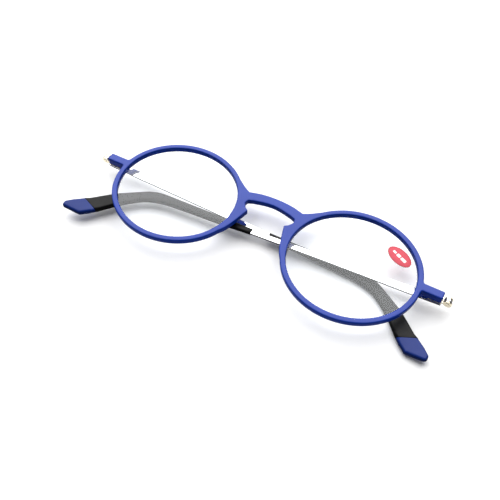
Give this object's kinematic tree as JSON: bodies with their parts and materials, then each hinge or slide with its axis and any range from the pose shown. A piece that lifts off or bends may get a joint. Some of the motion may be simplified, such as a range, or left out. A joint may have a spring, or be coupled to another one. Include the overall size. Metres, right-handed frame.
{
  "type": "folding reading glasses",
  "caption": "Round reading glasses with a slim one-piece plastic front, flat steel temples folded behind it and drooping moulded ear sleeves with coloured end caps.",
  "frame": {"origin": "bottom centre of the whole part with its temples folded", "axes": "+X across the front to the hinge whose temple lies nearest the front, +Y the wearer's up, +Z out of the front, which faces up as the glasses lie on their folded temples"},
  "size_m": [0.1332, 0.045, 0.0076],
  "materials": {
    "front_frame": "satin blue",
    "lens_left": "clear",
    "lens_right": "clear",
    "power_label": "red film",
    "hinge_leaf_left": "pale nickel plated",
    "leaf_screw_left_inner": "plated",
    "leaf_screw_left_outer": "plated",
    "hinge_screw_left": "plated",
    "temple_strip_left": "polished stainless steel",
    "temple_sleeve_left": "satin black",
    "tip_cap_left": "satin blue",
    "hinge_leaf_right": "pale nickel plated",
    "leaf_screw_right_inner": "plated",
    "leaf_screw_right_outer": "plated",
    "hinge_screw_right": "plated",
    "temple_strip_right": "polished stainless steel",
    "temple_sleeve_right": "satin black",
    "tip_cap_right": "satin blue"
  },
  "bodies": {
    "front": {"front_frame": "front_frame", "lens_left": "lens_left", "lens_right": "lens_right", "power_label": "power_label", "hinge_leaf_left": "hinge_leaf_left", "leaf_screw_left_inner": "leaf_screw_left_inner", "leaf_screw_left_outer": "leaf_screw_left_outer", "hinge_screw_left": "hinge_screw_left", "hinge_leaf_right": "hinge_leaf_right", "leaf_screw_right_inner": "leaf_screw_right_inner", "leaf_screw_right_outer": "leaf_screw_right_outer", "hinge_screw_right": "hinge_screw_right"},
    "temple_left": {"temple_strip_left": "temple_strip_left", "temple_sleeve_left": "temple_sleeve_left", "tip_cap_left": "tip_cap_left"},
    "temple_right": {"temple_strip_right": "temple_strip_right", "temple_sleeve_right": "temple_sleeve_right", "tip_cap_right": "tip_cap_right"}
  },
  "joints": [
    {"name": "fold_left", "type": "hinge", "parent": "front", "child": "temple_left", "pos_m": [-0.0652, 0.00322, 0.00503], "axis": [0, 1, 0], "range_deg": [0, 95]},
    {"name": "fold_right", "type": "hinge", "parent": "front", "child": "temple_right", "pos_m": [0.0652, 0.00322, 0.00503], "axis": [0, -1, 0], "range_deg": [0, 95]}
  ]
}
